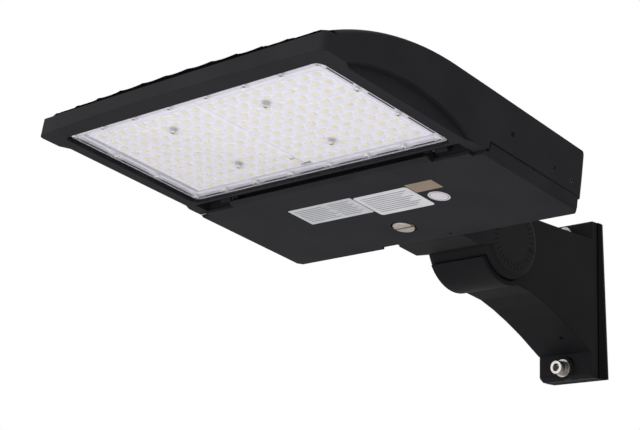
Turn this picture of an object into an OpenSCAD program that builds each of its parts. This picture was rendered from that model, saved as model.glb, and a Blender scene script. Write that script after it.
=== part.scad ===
// Shoebox area light on a short knuckle arm, millimetres, +Z up.
// Origin: on the pole face, midway between the two pole bolts.
// The light reaches out along -Y; the head hangs on a tilting knuckle.

/* [Head] */

// Width of the head across the front rim
head_w = 334.6; // [328:0.2:340]
// Width of the head across the rear wall
rear_w = 327.6; // [325:0.2:330]
// Length of the head from the front rim to the rear wall
head_l = 312.4; // [308:0.2:318]
// Height of the front strip
strip_h = 15; // [14:0.5:17]
// Height of the head at its highest point
head_h = 53; // [50:0.5:56]
// Distance from the front rim to the highest point
crest_y = 135; // [125:1:145]
// Number of channels between the cooling fins
channels = 11; // [9:2:11]
// Distance from fin to fin
fin_pitch = 27.5; // [26.5:0.1:27.5]
// Thickness of a fin
fin_t = 3; // [2:0.1:4]
// Distance from the front rim to the start of the channels
fin_y = 24; // [20:1:40]
// Depth of the shallow waves in the fins' front ends
wave_h = 1.7; // [1:0.1:2]
// How far the front rim bows forward in its middle
bow = 4.3; // [3:0.1:5]

/* [Lens and LEDs] */

// Width of the clear lens cover
lens_w = 294; // [292:0.5:295]
// Length of the clear lens cover
lens_l = 149.3; // [148.9:0.1:149.6]
// Distance from the front rim to the lens cover
lens_y = 14.8; // [14.5:0.1:15]
// Columns of LEDs on each half board
led_cols = 10; // [6:1:10]
// Rows of LEDs
led_rows = 10; // [6:1:10]
// Distance between LED columns
led_dx = 13; // [12:0.1:13]
// Distance between LED rows
led_dy = 12.38; // [11.5:0.02:12.4]

/* [Driver cover] */

// Distance from the front rim to the hinge axis of the cover
hinge_y = 179.5; // [179.2:0.1:179.8]
// Height of the hinge axis above the rim
hinge_z = 6.4; // [6.2:0.1:6.6]
// Thickness of the cover plate
cover_t = 3; // [2.5:0.1:3]
// Height of the side flanges above the rim plane
flange_h = 8.5; // [8:0.5:12]
// Radius of the coin screw head
coin_r = 10; // [9:0.5:10.5]

/* [Knuckle and arm] */

// Tilt of the head on its 0 to 90 degree scale
head_tilt = 9.5; // [0:0.5:90]
// Lean of the arm against the pole face, taken up by the wedge
arm_lean = 2.8; // [2.5:0.1:3]
// Distance from the pole face to the knuckle axis
knuckle_reach = 148.1; // [147:0.1:149]
// Height of the knuckle axis above the origin
knuckle_rise = 38.5; // [37:0.1:40]
// Radius of the round knuckle boss
boss_r = 36.5; // [36:0.1:36.6]
// Half width of the head's knuckle fork
fork_half = 37; // [36.5:0.1:38]
// Half width of the arm
arm_half = 30; // [29:0.5:30]
// Thickness of the arm's side walls
arm_wall = 4.5; // [4:0.5:5]
// Distance between the two pole bolts
bolt_gap = 130; // [129:0.5:131]
// Thickness of the rubber gasket at the pole
gasket_t = 2; // [1.5:0.5:2.5]

/* [Hidden] */

$fn = 40;

// Knuckle axis in the head's own frame
pivot_y = 382.8;
pivot_z = 20;
// Levels of the stack behind the lens, upwards from the rim plane
lens_z0 = 3;
lens_z1 = 5;
led_z0 = 5.5;
board_z0 = 6.1;
board_z1 = 7.7;
floor_z = 13.3;
// Driver box
box_y0 = 189.5;
box_y1 = 307;
box_half = 155;
roof_z = 47;
seal_z = 2;
// Recess of the cover hinge: front and rear wall, half width and height
recess_y0 = 166.8;
recess_y1 = 183.2;
recess_x = 152.5;
recess_z = 16.5;
duct_z0 = 19.5;
duct_z1 = 25.5;
pad_y = 312.6;
foot_y = pad_y + 1;
foot_t = 6.5;
// Front rise of the top: circle tangent to the level crest
top_r = (crest_y * crest_y + pow(head_h - strip_h, 2)) / (2 * (head_h - strip_h));
// First LED row and board edges
led_y0 = lens_y + 20;
board_y0 = lens_y + 11;
board_y1 = lens_y + 139.5;
// Cable slot through the boards, just behind the connector
slot_y = lens_y + 135.2;
// Arm flange
flange_u = 129.1;
flange_t = 9.4;
flange_w0 = -108;
flange_w1 = 43.6;
// Spot faces of the two bolts, as distances in front of the pole face
seat_low = 28.8;
seat_high = 18.9;
wire_r = 12;

function arc(c, r, a0, a1, n) =
    [for (i = [0:n]) let (a = a0 + (a1 - a0) * i / n) c + r * [cos(a), sin(a)]];

function round_rect(x0, y0, x1, y1, r, n = 5) = concat(
    arc([x1 - r, y0 + r], r, -90, 0, n),
    arc([x1 - r, y1 - r], r, 0, 90, n),
    arc([x0 + r, y1 - r], r, 90, 180, n),
    arc([x0 + r, y0 + r], r, 180, 270, n)
);

// A point of the arm's frame in the frame of the pole face
function arm_point(u, w) = [
    -knuckle_reach + u * cos(arm_lean) + w * sin(arm_lean),
    knuckle_rise - u * sin(arm_lean) + w * cos(arm_lean)
];

module in_arm()
    translate([0, -knuckle_reach, knuckle_rise])
        rotate([-arm_lean, 0, 0])
            children();

module in_head()
    in_arm()
        rotate([-head_tilt, 0, 0])
            translate([0, -pivot_y, -pivot_z])
                children();

// Extrudes a side view (y, z) across the width
module across(w)
    rotate([90, 0, 90])
        linear_extrude(height = w, center = true)
            children();

// Extrudes a side view (y, z) from x0 to x1
module across_from(x0, x1)
    translate([x0, 0, 0])
        rotate([90, 0, 90])
            linear_extrude(height = x1 - x0)
                children();

// Extrudes a plan view (x, y) from z0 to z1
module slab(z0, z1)
    translate([0, 0, z0])
        linear_extrude(height = z1 - z0)
            children();

module block(x0, x1, y0, y1, z0, z1)
    translate([x0, y0, z0])
        cube([x1 - x0, y1 - y0, z1 - z0]);

// Cylinder along +X, +Y or +Z from a starting point
module rod_x(p, r, l)
    translate(p)
        rotate([0, 90, 0])
            cylinder(h = l, r = r);

module rod_y(p, r, l)
    translate(p)
        rotate([-90, 0, 0])
            cylinder(h = l, r = r);

module rod_z(p, r, l)
    translate(p)
        cylinder(h = l, r = r);

module both_sides() {
    children();
    mirror([1, 0, 0])
        children();
}

// Places of the small screws of the lens cover
edge_x = [22, 64.5, 104, 141.7];
edge_places = [
    for (s = [-1, 1], x = edge_x, y = [4, lens_l - 7]) [s * x, lens_y + y],
    for (s = [-1, 1], y = [49, 95]) [s * (lens_w / 2 - 7), lens_y + y],
];
centre_places = [
    for (s = [-1, 1], y = [37.3, 111.5]) [s * 54.2, lens_y + y],
];

// ---- Head ----

module head_side()
    polygon(concat(
        [[head_l, 0], [head_l - 3.4, head_h - 5.8]],
        arc([head_l - 7.4, head_h - 6.4], 3.8, 0, 90, 4),
        [[-8, head_h + 2], [-8, 0]]
    ));

// Plan of the head; its front edge bows forward between the corners
module head_plan() {
    half = head_w / 2 - 6;
    r = (half * half + bow * bow) / (2 * bow);
    turn = asin(half / r);
    polygon(concat(
        arc([0, r - bow], r, 270 - turn, 270 + turn, 13),
        arc([head_w / 2 - 6, 6], 6, -67.5, 0, 3),
        arc([rear_w / 2 - 6, head_l - 5.6], 6, 0, 90, 5),
        arc([-rear_w / 2 + 6, head_l - 5.6], 6, 90, 180, 5),
        arc([-head_w / 2 + 6, 6], 6, 180, 247.5, 3)
    ));
}

// Section of the top across the width, with its two long edges rounded
module shoulder_section(r = 5)
    polygon(concat(
        [[top_r - 80, -head_w / 2]],
        arc([top_r - r, -head_w / 2 + r], r, -90, 0, 5),
        arc([top_r - r, head_w / 2 - r], r, 0, 90, 5),
        [[top_r - 80, head_w / 2]]
    ));

// Round front rise, and the straight rear that meets it in line
module rounded_top() {
    fall = atan(2.8 / (head_l - crest_y));
    translate([0, crest_y, head_h - top_r])
        rotate([90, 0, 90])
            rotate([0, 0, 90 - fall])
                union() {
                    rotate_extrude(angle = 75 + fall, $fn = 180)
                        shoulder_section();
                    rotate([90, 0, 0])
                        linear_extrude(height = head_l)
                            shoulder_section();
                }
}

// Dark rise behind the front strip, where the fins begin: one piece for
// each channel, lower towards the sides, with a shallow hollow on top
module fin_nose(x) {
    half = fin_pitch / 2;
    r = (pow(half - fin_t / 2, 2) + wave_h * wave_h) / (2 * wave_h);
    drop = 2.2 * pow(x / 120, 2);
    difference() {
        across_from(x - half - 0.02, x + half + 0.02)
            polygon([
                [-0.5, 10], [-0.5, 15.2 - drop / 2], [0.3, 18.5 - drop], [2.5, 21.6 - drop],
                [8, 24.2 - drop / 2], [16, 27 - drop / 4], [fin_y + 0.5, 28], [fin_y + 0.5, 10],
            ]);
        translate([x, -3, 21.6 - drop - wave_h + r])
            rotate([-90, 0, 0])
                cylinder(h = 9, r = r, $fn = 72);
    }
}

// One rounded trough between two fins, running front to rear; its floor
// steps up over the hinge recess
module fin_trough() {
    half = (fin_pitch - fin_t) / 2;
    fillet = 6;
    difference() {
        translate([0, box_y0 - 5, 0])
            rotate([90, 0, 0])
                linear_extrude(height = box_y0 - 5 - fin_y)
                    polygon(concat(
                        [[-half, head_h + 5]],
                        arc([-half + fillet, floor_z + fillet], fillet, 180, 270, 5),
                        arc([half - fillet, floor_z + fillet], fillet, 270, 360, 5),
                        [[half, head_h + 5]]
                    ));
        block(-half - 1, half + 1, recess_y0 - 3.5, box_y0, 0, recess_z + 3.5);
    }
}

// Arched hollow along each side of the rim, fading in and out at its ends
module side_arch() {
    span = 149;
    rise = 15.6;
    r = (span * span / 4 + rise * rise) / (2 * rise);
    half_angle = asin(span / 2 / r);
    x_in = head_w / 2 - 5.6;
    both_sides()
        intersection() {
            across_from(x_in, head_w / 2 + 5)
                polygon(concat(
                    arc([22 + span / 2, rise - r], r, 90 - half_angle, 90 + half_angle, 16),
                    [[22, -5], [22 + span, -5]]
                ));
            slab(-6, rise + 2)
                polygon([
                    [x_in + 6.6, 21], [x_in, 31], [x_in, 164], [x_in + 4.6, 172.5],
                    [x_in + 12, 172.5], [x_in + 12, 21],
                ]);
        }
}

// Plan of the driver compartment, with its two front corners notched
module box_plan(grow = 0)
    polygon([
        [-126 - grow, box_y0 - grow],
        [126 + grow, box_y0 - grow],
        [126 + grow, 196 - grow],
        [box_half + grow, 196 - grow],
        [box_half + grow, box_y1 + grow],
        [-box_half - grow, box_y1 + grow],
        [-box_half - grow, 196 - grow],
        [-126 - grow, 196 - grow],
    ]);

// Round-ended post that carries a hinge pin, hanging from the recess roof
module hinge_post()
    across_from(118.5, 131.5)
        union() {
            translate([hinge_y, hinge_z])
                circle(r = 3);
            translate([hinge_y - 3, hinge_z])
                square([6, recess_z - hinge_z + 1]);
        }

module housing()
    color([0.17, 0.17, 0.18])
        in_head()
            difference() {
                union() {
                    intersection() {
                        across(head_w)
                            head_side();
                        slab(0, head_h + 1)
                            head_plan();
                        rounded_top();
                    }
                    for (i = [0:channels - 1])
                        fin_nose((i - (channels - 1) / 2) * fin_pitch);
                    block(-fork_half, fork_half, head_l - 5, pad_y, seal_z, 46);
                }
                // seat of the lens and the shallow LED compartment
                slab(-1, lens_z1)
                    polygon(round_rect(-lens_w / 2 - 2.3, lens_y - 1.2,
                        lens_w / 2 + 2.3, lens_y + lens_l + 0.3, 7.3));
                slab(-1, board_z1)
                    polygon(round_rect(-lens_w / 2 + 1, lens_y + 1,
                        lens_w / 2 - 1, lens_y + lens_l - 1, 6));
                // fins
                difference() {
                    for (i = [0:channels - 1])
                        translate([(i - (channels - 1) / 2) * fin_pitch, 0, 0])
                            fin_trough();
                    block(-10, 10, 144, box_y0, 0, duct_z1 + 4);
                }
                both_sides()
                    block(153, 159.5, 40, box_y0 - 5, 24, head_h + 5);
                side_arch();
                // recess of the rolled cover edge, with the two hinge posts in it
                difference() {
                    block(-recess_x, recess_x, recess_y0, recess_y1, -1, recess_z);
                    both_sides()
                        hinge_post();
                }
                block(-152, 152, recess_y1 - 1, 192, -1, seal_z);
                // driver compartment, its sealing edge and the cover flanges
                difference() {
                    slab(-1, roof_z)
                        box_plan();
                    rod_z([0, 277.8, 5], 7, 50);
                    for (x = [-92, 92], y = [206, 256])
                        rod_z([x, y, 44], 4.5, 10);
                }
                rod_z([0, 277.8, 0], 3.5, 18);
                block(-rear_w, rear_w, 185.2, head_l + 1, -1, seal_z);
                both_sides()
                    block(box_half + 4.4, head_w, 188.7, head_l + 1, -1, flange_h + 0.5);
                // wire duct from the LED compartment
                block(-6, 6, slot_y, slot_y + 4.2, 5, duct_z1);
                block(-6, 6, slot_y, box_y0 + 1, duct_z0, duct_z1);
                // rear wall: wire way, bracket screws, vent
                rod_y([0, box_y1 - 1, 24], 9, 20);
                for (x = [-24, 24], z = [10, 38])
                    rod_y([x, box_y1 - 1, z], 3.3, 20);
                rod_y([-100, box_y1 - 1, 24], 4.2, 20);
                // screw holes
                for (p = [for (q = edge_places) q, for (q = centre_places) q])
                    translate([p[0], p[1], 0])
                        cylinder(h = 11.5, r = 1.7, $fn = 8);
                for (x = [-92, 92], y = [206, 256])
                    rod_z([x, y, 40], 1.6, 8.5);
                rod_z([-132, 290, 40], 2.6, 9);
                both_sides()
                    for (p = [[214.8, 25.5], [270.8, 19.5], [295.8, 19]])
                        rod_x([box_half + 2, p[0], p[1]], 2.1, 10);
                both_sides()
                    rod_x([118, hinge_y, hinge_z], 1.5, 12.6);
            }

module led_board(x0, x1)
    color([0.93, 0.93, 0.92])
        in_head()
            difference() {
                block(x0, x1, board_y0, board_y1, board_z0, board_z1);
                block(-6.5, 6.5, slot_y - 0.2, board_y1 + 1, board_z0 - 1, board_z1 + 1);
                for (p = centre_places)
                    translate([p[0], p[1], 5])
                        cylinder(h = 5, r = 1.9, $fn = 12);
            }

module led_board_left()
    led_board(-135.5, -0.4);

module led_board_right()
    led_board(0.4, 135.5);

module led_places()
    for (s = [-1, 1], i = [0:led_cols - 1], j = [0:led_rows - 1])
        translate([s * (8.3 + led_dx * i), led_y0 + led_dy * j, 0])
            children();

module led_chips()
    color([0.96, 0.93, 0.78])
        in_head()
            led_places()
                translate([-2.5, -2.5, led_z0])
                    cube([5, 5, board_z0 - led_z0]);

module lens_cover()
    color([0.88, 0.88, 0.92, 0.5])
        in_head()
            difference() {
                union() {
                    slab(lens_z0, lens_z1)
                        polygon(round_rect(-lens_w / 2, lens_y, lens_w / 2, lens_y + lens_l, 7));
                    led_places()
                        translate([0, 0, lens_z0 - 1.3])
                            cylinder(h = 1.8, r1 = 2.9, r2 = 5.2, $fn = 8);
                    for (p = centre_places)
                        rod_z([p[0], p[1], lens_z1 - 0.5], 3.4, board_z0 - lens_z1 + 0.5);
                }
                for (p = [for (q = edge_places) q, for (q = centre_places) q])
                    translate([p[0], p[1], 0])
                        cylinder(h = 8, r = 1.7, $fn = 8);
            }

module lens_gasket()
    color([0.86, 0.86, 0.88])
        in_head()
            difference() {
                slab(lens_z1, board_z1)
                    difference() {
                        polygon(round_rect(-lens_w / 2 + 1, lens_y + 1,
                            lens_w / 2 - 1, lens_y + lens_l - 1, 6));
                        polygon(round_rect(-lens_w / 2 + 9, lens_y + 9,
                            lens_w / 2 - 9, lens_y + lens_l - 9, 1));
                    }
                for (p = edge_places)
                    translate([p[0], p[1], 0])
                        cylinder(h = 9, r = 1.7, $fn = 8);
            }

// Small cross-recessed pan head screw, head down
module pan_screw(r, l)
    difference() {
        union() {
            translate([0, 0, -1.4])
                cylinder(h = 0.6, r1 = r * 1.2, r2 = r * 1.7, $fn = 12);
            translate([0, 0, -0.8])
                cylinder(h = 0.8, r = r * 1.7, $fn = 12);
            translate([0, 0, -0.1])
                cylinder(h = l, r = r, $fn = 8);
        }
        for (a = [0, 90])
            rotate([0, 0, a])
                translate([-r * 0.9, -0.3, -2])
                    cube([r * 1.8, 0.6, 1.5]);
    }

module lens_screws()
    color([0.75, 0.75, 0.77])
        in_head()
            for (p = edge_places)
                translate([p[0], p[1], lens_z0])
                    pan_screw(1.5, 8);

module lens_centre_screws()
    color([0.75, 0.75, 0.77])
        in_head()
            for (p = centre_places)
                translate([p[0], p[1], lens_z0])
                    pan_screw(1.5, 8);

module board_connector()
    color([0.9, 0.9, 0.88])
        in_head()
            difference() {
                block(-5.5, 0.3, slot_y - 15.2, slot_y - 0.4, board_z0 - 1, board_z0);
                for (x = [-4.1, -1.1])
                    block(x - 0.9, x + 0.9, slot_y - 3, slot_y, board_z0 - 0.9, board_z0 + 1);
            }

module wire_grommet()
    color([0.1, 0.1, 0.1])
        in_head()
            difference() {
                block(-6, 6, box_y0 - 5, box_y0, duct_z0, duct_z1);
                for (x = [-3, 3])
                    rod_y([x, box_y0 - 6, duct_z0 + 3], 1.3, 8);
            }

// ---- Inside the driver compartment ----

module led_driver()
    color([0.72, 0.73, 0.74])
        in_head()
            difference() {
                union() {
                    block(-86, 86, 199, 263, 14, roof_z);
                    both_sides()
                        block(85, 98, 199, 263, 42, 44);
                }
                for (x = [-92, 92], y = [206, 256])
                    rod_z([x, y, 40], 2.2, 6);
                for (i = [0:3])
                    both_sides()
                        block(12 + i * 17, 20 + i * 17, 198, 264, 13, 15.5);
            }

module driver_screws()
    color([0.78, 0.78, 0.8])
        in_head()
            for (x = [-92, 92], y = [206, 256])
                union() {
                    rod_z([x, y, 39.4], 3.4, 2.6);
                    rod_z([x, y, 41.5], 1.5, 6.5);
                }

module surge_protector()
    color([0.2, 0.22, 0.26])
        in_head()
            difference() {
                block(106, 150, 206, 240, 24, roof_z);
                for (y = [216, 230])
                    rod_x([100, y, 32], 1.6, 14);
            }

module terminal_block()
    color([0.92, 0.91, 0.86])
        in_head()
            difference() {
                block(-152, -110, 216, 238, 29, roof_z);
                for (x = [-145, -131, -117])
                    rod_z([x, 227, 28], 3, 6);
                for (x = [-145, -131, -117], y = [215, 233])
                    block(x - 2.5, x + 2.5, y, y + 6, 33, 38);
            }

module ground_screw()
    color([0.2, 0.55, 0.25])
        in_head()
            difference() {
                union() {
                    rod_z([-132, 290, 43.4], 5, roof_z - 43.4);
                    rod_z([-132, 290, 46], 2.5, 3);
                }
                block(-136, -128, 289.4, 290.6, 43, 44.6);
            }

// Round wire through a list of points
module wire(pts, r) {
    for (i = [0:len(pts) - 2]) {
        a = pts[i];
        v = pts[i + 1] - a;
        translate(a)
            rotate([0, acos(v[2] / norm(v)), atan2(v[1], v[0])])
                cylinder(h = norm(v), r = r, $fn = 12);
    }
    for (i = [1:len(pts) - 2])
        translate(pts[i])
            sphere(r = r, $fn = 12);
}

module internal_leads()
    color([0.62, 0.12, 0.1])
        in_head() {
            for (x = [-4.1, -1.1])
                let (s = x < -2 ? -1 : 1)
                    wire([[x, slot_y - 2, board_z0 - 0.5], [x, slot_y + 2, board_z0 - 0.5],
                        [x, slot_y + 2, duct_z0 + 3], [s * 3, slot_y + 9, duct_z0 + 3],
                        [s * 3, box_y0 + 2, duct_z0 + 3], [s * 30, box_y0 + 4, 23],
                        [s * 40, box_y0 + 5, 24], [s * 40, 199, 24]], 0.38);
            wire([[-86, 232, 30], [-92, 232, 30], [-97, 232, 34], [-104, 245, 35.5], [-117, 245, 35.5],
                [-117, 233.5, 35.5]], 1.2);
            wire([[86, 230, 28], [94, 230, 28], [97, 230, 32], [107, 230, 32]], 1.2);
            wire([[-131, 233.5, 35.5], [-131, 250, 35.5], [-132, 268, 40], [-132, 284.4, 45.4]], 1.2);
        }

module breather_vent()
    color([0.1, 0.1, 0.11])
        in_head()
            union() {
                rod_y([-100, box_y1 - 3, 24], 4, 8.6);
                translate([-100, box_y1, 24])
                    rotate([90, 0, 0])
                        cylinder(h = 4, r = 7.5, $fn = 6);
                rod_y([-100, head_l - 1.2, 24], 6.5, 3.2);
            }

module side_screws()
    color([0.1, 0.1, 0.11])
        in_head()
            both_sides()
                for (p = [[214.8, 25.5], [270.8, 19.5], [295.8, 19]])
                    difference() {
                        rod_x([box_half + 2.4, p[0], p[1]], 2, 6.2);
                        translate([box_half + 7.6, p[0], p[1]])
                            rotate([0, 90, 0])
                                cylinder(h = 3, r = 1.2, $fn = 6);
                    }

module hinge_pins()
    color([0.7, 0.7, 0.72])
        in_head()
            both_sides()
                rod_x([109, hinge_y, hinge_z], 1.5, 21.4);

// ---- Knuckle on the head ----

module cheek_side()
    union() {
        translate([pivot_y, pivot_z])
            circle(r = boss_r);
        polygon([
            [foot_y, -2.5], [337.8, -2.5], [353.3, 4], [pivot_y, pivot_z],
            [364.5, 51.6], [335, 48], [foot_y, 46],
        ]);
    }

// Stack of discs that rounds the outer edge of a cheek
module rounded_cheek() {
    across_from(30.4, fork_half - 6)
        cheek_side();
    across_from(fork_half - 6.1, fork_half)
        polygon([
            [foot_y, -2.5], [337.8, -2.5], [353.3, 4], [pivot_y - 26, pivot_z],
            [356, 45], [335, 46], [foot_y, 46],
        ]);
    translate([fork_half - 6.1, pivot_y, pivot_z])
        rotate([0, 90, 0])
            rotate_extrude()
                polygon(concat(
                    [[0, 0], [boss_r, 0]],
                    arc([boss_r - 6, 0.1], 6, 0, 90, 6),
                    [[0, 6.1]]
                ));
}

module knuckle_bracket()
    color([0.13, 0.13, 0.14])
        in_head()
            difference() {
                union() {
                    block(-fork_half, fork_half, foot_y, foot_y + foot_t, -2.5, 46);
                    both_sides()
                        rounded_cheek();
                    // bottom plate running into the round front shell
                    across(62)
                        polygon([
                            [foot_y, -2.5], [337.8, -2.5], [353.3, 4], [348.6, 8],
                            [337, 2.5], [foot_y, 2.5],
                        ]);
                    across(62)
                        polygon(concat(
                            arc([pivot_y, pivot_z], boss_r, 152, 262, 22),
                            arc([pivot_y, pivot_z], boss_r - 4, 262, 152, 22)
                        ));
                }
                // knuckle bolt: clear through the left cheek, blind in the right
                rod_x([-40, pivot_y, pivot_z], 5.25, 20);
                rod_x([20, pivot_y, pivot_z], 5.05, 15.3);
                // bolts and wires from the driver compartment
                for (x = [-24, 24], z = [10, 38])
                    rod_y([x, foot_y - 1, z], 3.1, foot_t - 0.5);
                rod_y([0, foot_y - 1, 24], 9, foot_t + 2);
                // tick ring on each flat face, one longer tick for the scale mark
                both_sides()
                    for (a = [0:10:350])
                        translate([fork_half - 0.5, pivot_y, pivot_z])
                            rotate([a, 0, 0])
                                block(0, 1, 22, 29, -0.45, 0.45);
                both_sides()
                    translate([fork_half - 0.5, pivot_y, pivot_z])
                        rotate([-5, 0, 0])
                            block(0, 1, 22, 33.5, -0.6, 0.6);
            }

module bracket_gasket()
    color([0.1, 0.1, 0.1])
        in_head()
            difference() {
                block(-35, 35, pad_y, foot_y, 4, 44);
                rod_y([0, pad_y - 1, 24], 9, 4);
                for (x = [-24, 24], z = [10, 38])
                    rod_y([x, pad_y - 1, z], 3.3, 4);
            }

module bracket_screws()
    color([0.78, 0.78, 0.8])
        in_head()
            for (x = [-24, 24], z = [10, 38])
                difference() {
                    union() {
                        rod_y([x, box_y1 - 5, z], 5, 5);
                        rod_y([x, box_y1 - 1, z], 3, 11);
                    }
                    translate([x, box_y1 - 2, z])
                        rotate([90, 0, 0])
                            cylinder(h = 4, r = 2.9, $fn = 6);
                }

module knuckle_bolt()
    color([0.6, 0.6, 0.62])
        in_head()
            translate([0, pivot_y, pivot_z])
                difference() {
                    union() {
                        rod_x([-fork_half - 12, 0, 0], 8, 10);
                        rod_x([-fork_half - 2.5, 0, 0], 5, fork_half + 37.5);
                    }
                    translate([-fork_half - 13, 0, 0])
                        rotate([0, 90, 0])
                            cylinder(h = 6, r = 4.6, $fn = 6);
                }

module knuckle_washer()
    color([0.7, 0.7, 0.72])
        in_head()
            translate([-fork_half - 2, pivot_y, pivot_z])
                rotate([0, 90, 0])
                    difference() {
                        cylinder(h = 2, r = 10.5);
                        translate([0, 0, -1])
                            cylinder(h = 4, r = 5.25);
                    }

// ---- Driver cover ----

module cover_plan()
    polygon([
        [-115, hinge_y], [115, hinge_y], [115, 180.4], [152, 180.4], [152, 185.6],
        [rear_w / 2 + 0.4, 185.6], [rear_w / 2, head_l - 6], [rear_w / 2 - 6, head_l],
        [-rear_w / 2 + 6, head_l], [-rear_w / 2, head_l - 6],
        [-rear_w / 2 - 0.4, 185.6], [-152, 185.6], [-152, 180.4], [-115, 180.4],
    ]);

// Rolled front edge of the cover around the hinge axis, as a side view
module cover_roll(inner) {
    r = hinge_z + cover_t;
    translate([hinge_y, hinge_z])
        polygon(concat(
            arc([0, 0], r, 228, 270, 8),
            inner > 0 ? arc([0, 0], inner, 270, 228, 8) : [[0, 0]]
        ));
}

module driver_cover()
    color([0.17, 0.17, 0.18])
        in_head()
            difference() {
                union() {
                    slab(-cover_t, 0)
                        cover_plan();
                    intersection() {
                        slab(-cover_t, flange_h)
                            cover_plan();
                        both_sides()
                            block(box_half + 5.4, head_w, 189.2, head_l - 1, -cover_t, flange_h);
                    }
                    across(230)
                        cover_roll(hinge_z);
                    both_sides()
                        across_from(108, 115)
                            union() {
                                cover_roll(0);
                                translate([hinge_y, hinge_z])
                                    circle(r = 3.4);
                                translate([hinge_y - 1, -cover_t])
                                    square([4, hinge_z + cover_t]);
                            }
                    rod_z([0, 277.8, -1], 14, 3.5);
                    for (y = [222, 250])
                        block(-120, 120, y, y + 2, -0.5, 4);
                }
                // running holes of the hinge pins
                both_sides()
                    rod_x([107, hinge_y, hinge_z], 1.56, 9);
                // coin screw recess and hole
                rod_z([0, 277.8, -cover_t - 1], 11.4, 3.4);
                rod_z([0, 277.8, -2], 4.4, 8);
                // bent lower edges of the two sides
                both_sides()
                    translate([0, head_l + 1, 0])
                        rotate([90, 0, 0])
                            linear_extrude(height = 130)
                                polygon([
                                    [rear_w / 2 - 2.1, -cover_t - 0.1],
                                    [rear_w / 2 + 1.5, -cover_t - 0.1],
                                    [rear_w / 2 + 1.5, -cover_t + 3.5],
                                ]);
                // front ends of the side flanges, rounded to swing clear of the housing
                both_sides()
                    intersection() {
                        rod_x([box_half + 3, hinge_y, hinge_z], 11.5, 20);
                        block(box_half, head_w, 160, 200, 0, flange_h + 1);
                    }
                // drain hole and finger step at the rear edge
                rod_z([30, 305.8, -5], 1.5, 8);
                block(-54, -34, head_l - 4, head_l + 1, -5, -0.6);
            }

module cover_gasket()
    color([0.1, 0.1, 0.1])
        in_head()
            slab(0, seal_z - 0.35)
                difference() {
                    box_plan(3.2);
                    box_plan(0.2);
                }

module cover_labels()
    color([0.86, 0.86, 0.87])
        in_head() {
            block(-75, -0.5, lens_y + 193, lens_y + 225, -cover_t - 0.15, -cover_t);
            slab(-cover_t - 0.15, -cover_t)
                polygon(round_rect(0.5, lens_y + 195, 61, lens_y + 234, 3));
            block(62, 91, lens_y + 192, lens_y + 208, -cover_t - 0.15, -cover_t);
            slab(-cover_t - 0.15, -cover_t)
                translate([75, lens_y + 221.6])
                    circle(r = 9.5);
        }

module coin_screw()
    color([0.62, 0.6, 0.56])
        in_head()
            translate([0, 277.8, 0])
                difference() {
                    union() {
                        translate([0, 0, -4.2])
                            cylinder(h = 0.8, r1 = coin_r - 0.8, r2 = coin_r);
                        rod_z([0, 0, -3.41], coin_r, 2.5);
                        rod_z([0, 0, -1], 4, 5.2);
                        rod_z([0, 0, 4], 2.5, 9);
                    }
                    block(-12, 12, -1.1, 1.1, -6, -2.6);
                }

module coin_screw_clip()
    color([0.7, 0.7, 0.72])
        in_head()
            translate([0, 277.8, 2.9])
                difference() {
                    cylinder(h = 1, r = 7);
                    translate([0, 0, -1])
                        cylinder(h = 3, r = 4);
                }

// ---- Arm and pole fixing ----

// Underside of the arm, from the cradle to the foot of the flange
arm_under = [
    [14.9, -39.3], [36, -42.6], [54.9, -48.9], [73.7, -56.7],
    [89.5, -64.2], [97.4, -68.2], [124.8, -83.5], [flange_u + 1, -84.5],
];

module arm_wall_side()
    union() {
        circle(r = 31);
        polygon(concat(
            [[0, 0], 31 * [cos(-75), sin(-75)], 42 * [cos(-75), sin(-75)]],
            arm_under,
            [[flange_u + 1, 25.3], [40.8, 27.6], 31 * [cos(37), sin(37)]]
        ));
    }

module arm_web_side()
    union() {
        polygon(concat(
            arc([0, 0], 42, 212, 289, 16),
            arc([0, 0], 37.5, 289, 212, 16)
        ));
        polygon(concat(
            [42 * [cos(-80), sin(-80)]],
            arm_under,
            [for (i = [len(arm_under) - 1:-1:0]) arm_under[i] + [0.6, 5.4]],
            [37.5 * [cos(-80), sin(-80)]]
        ));
    }

module arm()
    color([0.13, 0.13, 0.14])
        difference() {
            union() {
                in_arm() {
                    both_sides()
                        across_from(arm_half - arm_wall, arm_half)
                            arm_wall_side();
                    across(2 * arm_half)
                        arm_web_side();
                    across(2 * arm_half)
                        polygon(concat(
                            [[flange_u - 2.7, -83]],
                            arc([flange_u + 0.3, flange_w0 + 5], 3, 180, 225, 3),
                            [[flange_u + 3, flange_w0]],
                            [[flange_u + flange_t, flange_w0], [flange_u + flange_t, flange_w1]],
                            [[flange_u + 1, flange_w1], [flange_u, flange_w1 - 1], [flange_u, -80]]
                        ));
                }
                rod_y([0, -seat_low, -bolt_gap / 2], 11, 10);
                rod_y([0, -seat_high, bolt_gap / 2], 9, 8);
            }
            in_arm() {
                rod_x([-35, 0, 0], 5.06, 70);
                // drain hole in the underside
                rod_z([12, 106, -90], 2.5, 40);
            }
            for (s = [-1, 1])
                rod_y([0, -60, s * bolt_gap / 2], 4.4, 60);
            rod_y([0, -60, 0], wire_r, 60);
        }

module pole_adapter()
    color([0.06, 0.06, 0.06])
        difference() {
            across(2 * arm_half + 2)
                polygon([
                    arm_point(flange_u + flange_t, flange_w1),
                    arm_point(flange_u + flange_t, flange_w0),
                    [-gasket_t, arm_point(flange_u + flange_t, flange_w0)[1] - 0.4],
                    [-gasket_t, arm_point(flange_u + flange_t, flange_w1)[1] - 0.2],
                ]);
            for (s = [-1, 1])
                rod_y([0, -30, s * bolt_gap / 2], 4.4, 60);
            rod_y([0, -30, 0], wire_r, 60);
        }

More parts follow.
